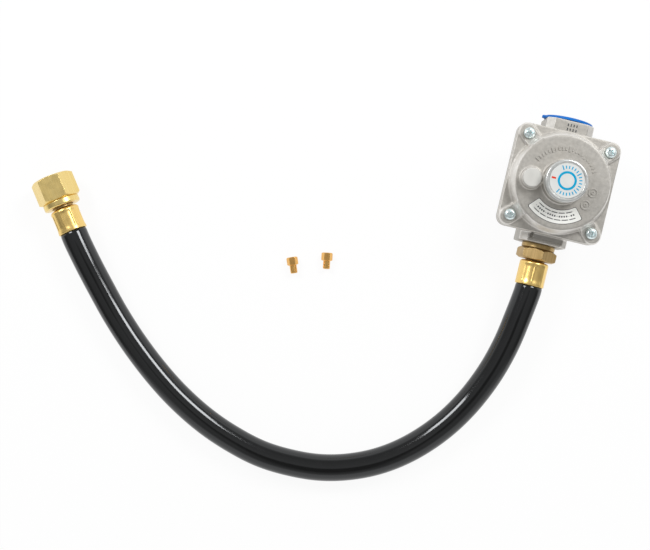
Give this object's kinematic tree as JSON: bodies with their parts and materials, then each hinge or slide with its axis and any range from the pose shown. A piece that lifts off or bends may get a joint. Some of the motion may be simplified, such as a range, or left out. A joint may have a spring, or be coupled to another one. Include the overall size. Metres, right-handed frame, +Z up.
{
  "type": "propane regulator hose",
  "caption": "Low-pressure gas regulator with lever valve inside, flexible rubber hose with crimped brass ends, and a swivel flare nut at the far end.",
  "frame": {"origin": "on the table under the middle of the regulator, at the middle of its cast foot", "axes": "+Y along the two ports from outlet to inlet, +Z up through the diaphragm, spring and seal cap, +X to the right seen from above with the inlet away"},
  "size_m": [0.3288, 0.2424, 0.0595],
  "materials": {
    "cast_aluminium": "die-cast, fine tumbled",
    "brass": "turned and bright dipped",
    "ferrule_brass": "crimped bright brass",
    "zinc_steel": "clear zinc plated",
    "spring_steel": "drawn wire",
    "white_plastic": "moulded, fine satin",
    "blue_plastic": "moulded soft polyethylene",
    "black_rubber": "moulded nitrile",
    "hose_rubber": "extruded, smooth satin"
  },
  "bodies": {
    "root": {"regulator_body": "cast_aluminium", "regulator_cover": "cast_aluminium", "diaphragm": "black_rubber", "regulating_spring": "spring_steel", "vent_screen": "zinc_steel", "vent_cap": "white_plastic", "lever_pin": "zinc_steel", "inlet_nozzle": "brass", "cover_screw_1": "zinc_steel", "cover_screw_2": "zinc_steel", "cover_screw_3": "zinc_steel", "cover_screw_4": "zinc_steel", "outlet_fitting": "brass", "outlet_ferrule": "ferrule_brass", "hose": "hose_rubber", "far_ferrule": "ferrule_brass", "far_insert": "brass"},
    "nut": {"swivel_nut": "brass"},
    "cap_gasket": {"seal_cap_gasket": "black_rubber"},
    "cap": {"seal_cap": "cast_aluminium"},
    "seat": {"spring_seat": "zinc_steel"},
    "setting_screw": {"adjusting_screw": "brass"},
    "diaphragm_centre": {"upper_diaphragm_plate": "zinc_steel", "lower_diaphragm_plate": "zinc_steel", "diaphragm_stem": "zinc_steel"},
    "lever": {"valve_lever": "zinc_steel"},
    "pusher": {"valve_pusher": "brass", "valve_disc": "black_rubber"},
    "dust_plug": {"inlet_dust_plug": "blue_plastic"},
    "spare_orifice_a": {"orifice_a": "brass"},
    "spare_orifice_b": {"orifice_b": "brass"}
  },
  "joints": [
    {"name": "nut_spin", "type": "hinge", "parent": "root", "child": "nut", "pos_m": [-0.28467, -0.06966, 0.0111], "axis": [-0.5878, 0.809, 0], "continuous": true},
    {"name": "cap_lift", "type": "slide", "parent": "root", "child": "cap_gasket", "axis": [0, 0, 1], "range_m": [0, 0.00502]},
    {"name": "cap_turn", "type": "hinge", "parent": "cap_gasket", "child": "cap", "pos_m": [0, 0, 0.055], "axis": [0, 0, 1], "range_deg": [0, 1800]},
    {"name": "seat_travel", "type": "slide", "parent": "root", "child": "seat", "axis": [0, 0, 1], "range_m": [-0.00152, 0.00077], "deforming": ["regulating_spring"]},
    {"name": "setting_turn", "type": "hinge", "parent": "seat", "child": "setting_screw", "pos_m": [0, 0, 0.0466], "axis": [0, 0, 1], "range_deg": [-540, 270]},
    {"name": "diaphragm_travel", "type": "slide", "parent": "root", "child": "diaphragm_centre", "axis": [0, 0, 1], "range_m": [0, 0.002], "stiffness_N_per_m": 300, "springref_m": -0.004, "deforming": ["regulating_spring", "diaphragm"]},
    {"name": "lever_swing", "type": "hinge", "parent": "root", "child": "lever", "pos_m": [0, 0.0125, 0.009], "axis": [-1, 0, 0], "range_deg": [0, 9.3]},
    {"name": "pusher_travel", "type": "slide", "parent": "root", "child": "pusher", "axis": [0, 1, 0], "range_m": [0, 0.001]},
    {"name": "dust_plug_pull", "type": "slide", "parent": "root", "child": "dust_plug", "axis": [0, 1, 0], "range_m": [0, 0.03]},
    {"name": "orifice_a_lift", "type": "slide", "parent": "root", "child": "spare_orifice_a", "axis": [0, 0, 1], "range_m": [0, 0.04]},
    {"name": "orifice_b_lift", "type": "slide", "parent": "root", "child": "spare_orifice_b", "axis": [0, 0, 1], "range_m": [0, 0.04]}
  ],
  "couplings": [
    {"joint": "cap_lift", "follows": "cap_turn", "m_per_rad": 0.00015915},
    {"joint": "seat_travel", "follows": "setting_turn", "m_per_rad": 0.00015915},
    {"joint": "lever_swing", "follows": "diaphragm_travel", "rad_per_m": 80},
    {"joint": "pusher_travel", "follows": "diaphragm_travel", "ratio": 0.496}
  ]
}
